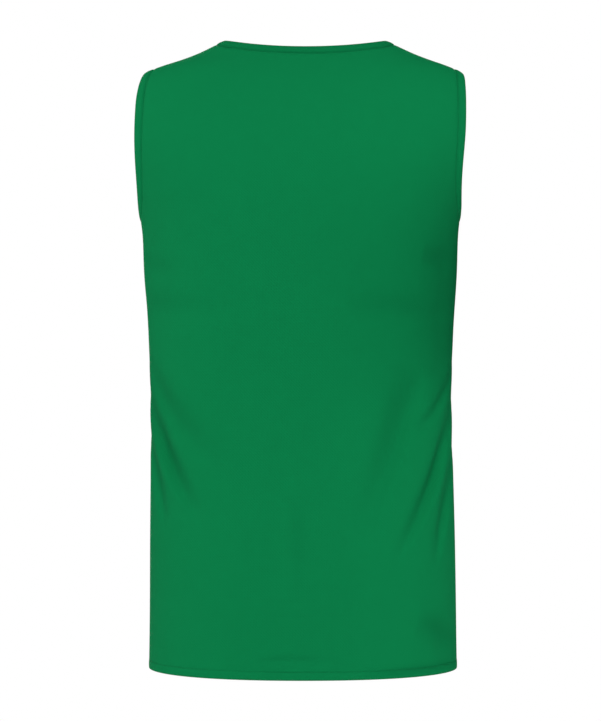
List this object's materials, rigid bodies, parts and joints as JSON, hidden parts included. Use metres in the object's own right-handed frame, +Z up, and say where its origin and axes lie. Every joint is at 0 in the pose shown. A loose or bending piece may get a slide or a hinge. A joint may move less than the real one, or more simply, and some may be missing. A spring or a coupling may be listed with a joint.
{
  "type": "sports tank top",
  "caption": "Sleeveless sports top in light knit, worn shape with open neck, armholes and hem, bound edges and a narrow hem.",
  "frame": {"origin": "midway between the shoulder seams, at the height of the seams' middle, where the wearer's shoulders hold the top", "axes": "+Z up towards the neck, +Y out of the back, -Y out of the front, +X towards the wearer's left"},
  "size_m": [0.3688, 0.2557, 0.7026],
  "materials": {
    "knit": "matt light knit with a fine mesh texture",
    "binding": "matt knit, folded double and sewn"
  },
  "bodies": {
    "root": {"back_panel": "knit", "front_panel": "knit", "neck_binding": "binding", "armhole_binding_left": "binding", "armhole_binding_right": "binding"}
  },
  "joints": []
}
